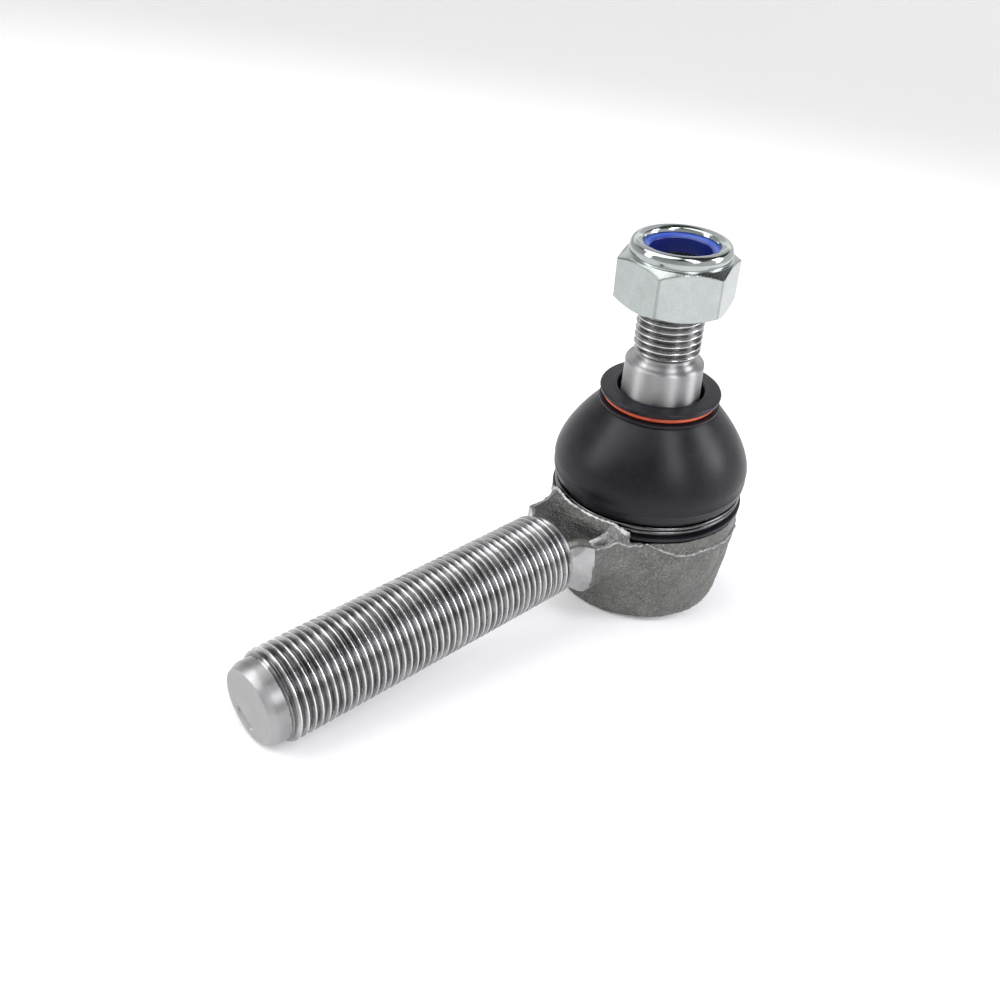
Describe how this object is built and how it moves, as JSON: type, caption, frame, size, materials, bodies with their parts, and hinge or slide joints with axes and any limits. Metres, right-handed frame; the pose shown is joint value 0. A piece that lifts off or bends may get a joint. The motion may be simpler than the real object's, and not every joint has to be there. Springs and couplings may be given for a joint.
{
  "type": "tie rod end",
  "caption": "Steering tie rod end: a ball stud with a nylon-insert lock nut swings in a forged housing under a rubber dust boot, with a long threaded shank.",
  "frame": {"origin": "centre of the cover plate's outer face, on the stud's axis, at the bottom of the part", "axes": "+Z along the ball stud towards the nut, -X along the threaded shank away from the housing, Y across the shank"},
  "size_m": [0.1249, 0.0426, 0.0822],
  "materials": {
    "forged_steel": "shot-blasted forging, bright where it is turned and threaded",
    "cover_steel": "pressed steel plate, satin",
    "spring_steel": "oiled spring steel",
    "seat_plastic": "moulded acetal, greased",
    "ground_steel": "ground and rolled steel",
    "boot_rubber": "satin black moulded rubber",
    "clip_wire": "blackened spring wire",
    "neck_ring": "orange elastic ring",
    "zinc_plate": "bright zinc plate",
    "nylon": "blue nylon"
  },
  "bodies": {
    "housing_body": {"housing": "forged_steel", "cover_plate": "cover_steel", "disc_spring": "spring_steel", "lower_ball_seat": "seat_plastic", "upper_ball_seat": "seat_plastic", "boot_base_clip": "clip_wire"},
    "boot_middle": {"dust_boot": "boot_rubber"},
    "boot_top": {"boot_neck_ring": "neck_ring"},
    "stud": {"ball_stud": "ground_steel", "lock_nut": "zinc_plate", "nut_insert": "nylon"}
  },
  "joints": [
    {"name": "stud_swing_fore_aft", "type": "hinge", "parent": "housing_body", "child": "boot_middle", "pos_m": [0, 0, 0.02], "axis": [0, 1, 0], "range_deg": [-18, 18], "deforming": ["dust_boot"]},
    {"name": "stud_swing_sideways", "type": "hinge", "parent": "boot_middle", "child": "boot_top", "pos_m": [0, 0, 0.02], "axis": [1, 0, 0], "range_deg": [-18, 18]},
    {"name": "stud_spin", "type": "hinge", "parent": "boot_top", "child": "stud", "pos_m": [0, 0, 0.02], "axis": [0, 0, 1], "continuous": true}
  ]
}
